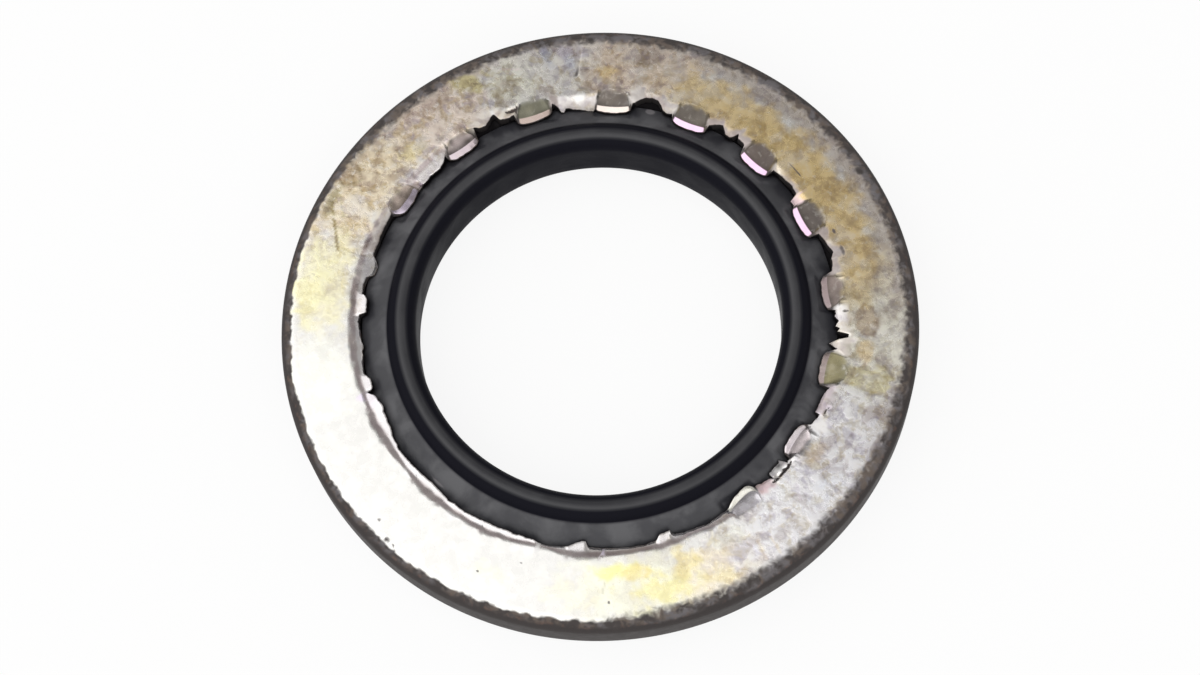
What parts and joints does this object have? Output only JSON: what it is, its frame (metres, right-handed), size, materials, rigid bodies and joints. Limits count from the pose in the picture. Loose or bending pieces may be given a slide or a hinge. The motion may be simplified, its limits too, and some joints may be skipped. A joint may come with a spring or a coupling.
{
  "type": "sealing washer",
  "caption": "Flat plated steel sealing washer with a moulded rubber ring staked into its bore; seals round a bolt or pipe fitting.",
  "frame": {"origin": "on the washer's axis, at the surface that its lower rubber bead rests on", "axes": "+Z along the axis, out of the face that the picture shows; +X to the right of that view"},
  "size_m": [0.03, 0.03, 0.0033],
  "materials": {
    "plated_steel": "worn yellow zinc plating, mottled",
    "seal_rubber": "black moulded rubber, satin bead and matt flange"
  },
  "bodies": {
    "root": {"steel_ring": "plated_steel", "rubber_seal": "seal_rubber"}
  },
  "joints": []
}
